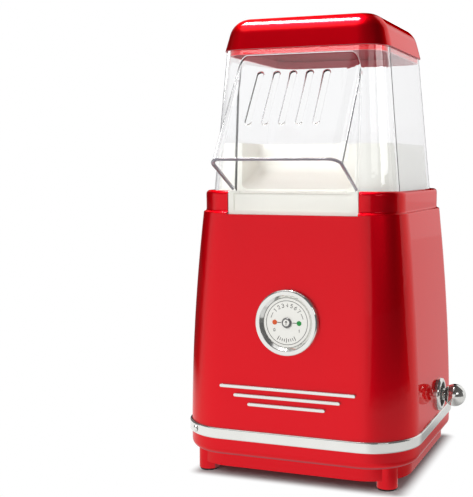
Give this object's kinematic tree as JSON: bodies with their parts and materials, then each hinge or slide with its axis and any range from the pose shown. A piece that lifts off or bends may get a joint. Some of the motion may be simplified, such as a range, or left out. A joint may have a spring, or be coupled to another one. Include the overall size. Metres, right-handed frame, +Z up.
{
  "type": "popcorn maker",
  "caption": "Hot-air popcorn maker: red tapered square body with chrome band, dial and lever, ivory chute, clear hood with sloping awning, lift-off lid and blower inside.",
  "frame": {"origin": "on the floor under the upright centre line of the body", "axes": "+Z up, -Y towards the front with the dial and the chute, +X towards the side with the lever"},
  "size_m": [0.2164, 0.2171, 0.3645],
  "materials": {
    "candy_red": "glossy metallic red",
    "dark_rubber": "matt",
    "zinc_steel": "zinc plated",
    "chrome": "polished",
    "dial_white": "satin",
    "hub_grey": "satin",
    "marker_orange": "glossy",
    "marker_green": "glossy",
    "black_plastic": "matt",
    "brass": "plain",
    "aluminium": "spun",
    "mica": "matt sheet",
    "heater_wire": "oxidised",
    "magnet": "matt",
    "board_green": "lacquered",
    "ivory": "smooth",
    "clear_plastic": "clear"
  },
  "bodies": {
    "base": {"body_shell": "candy_red", "base_tray": "candy_red", "foot_pads": "dark_rubber", "tray_screws": "zinc_steel", "chrome_band": "chrome", "dial_bezel": "chrome", "dial_retainer": "zinc_steel", "dial_face": "dial_white", "dial_hub": "hub_grey", "ready_marker": "marker_orange", "start_marker": "marker_green", "front_trim": "chrome", "switch_bezel": "chrome", "switch_nut": "zinc_steel", "switch_body": "black_plastic", "lever_pin": "zinc_steel", "switch_terminals": "brass", "cord_gland": "black_plastic", "popping_chamber": "aluminium", "air_duct": "zinc_steel", "duct_screws": "zinc_steel", "heater_ring": "mica", "heater_cards": "mica", "heater_coil": "heater_wire", "motor_strap": "zinc_steel", "motor_screws": "zinc_steel", "motor_can": "zinc_steel", "motor_magnets": "magnet", "motor_end_cap": "black_plastic", "shaft_bushes": "brass", "thermostat": "black_plastic", "thermal_fuse": "zinc_steel", "rectifier_board": "board_green", "rectifier_diodes": "black_plastic"},
    "chute": {"chute": "ivory"},
    "hood": {"hood": "clear_plastic"},
    "lid": {"lid": "candy_red"},
    "lever": {"lever_stem": "chrome", "lever_ball": "chrome"},
    "rotor": {"motor_shaft": "zinc_steel", "armature": "magnet", "commutator": "brass", "blower_wheel": "black_plastic", "wheel_clip": "zinc_steel"}
  },
  "joints": [
    {"name": "power_lever", "type": "hinge", "parent": "base", "child": "lever", "pos_m": [0.08351, 0.0144, 0.0558], "axis": [0, 1, 0], "range_deg": [-12, 12]},
    {"name": "blower_spin", "type": "hinge", "parent": "base", "child": "rotor", "pos_m": [0, 0.02, 0.0897], "axis": [0, 0, 1], "continuous": true},
    {"name": "chute_lift", "type": "slide", "parent": "base", "child": "chute", "axis": [0, 0, 1], "range_m": [0, 0.08]},
    {"name": "hood_lift", "type": "slide", "parent": "chute", "child": "hood", "axis": [0, 0, 1], "range_m": [0, 0.1]},
    {"name": "lid_lift", "type": "slide", "parent": "hood", "child": "lid", "axis": [0, 0, 1], "range_m": [0, 0.06]}
  ]
}
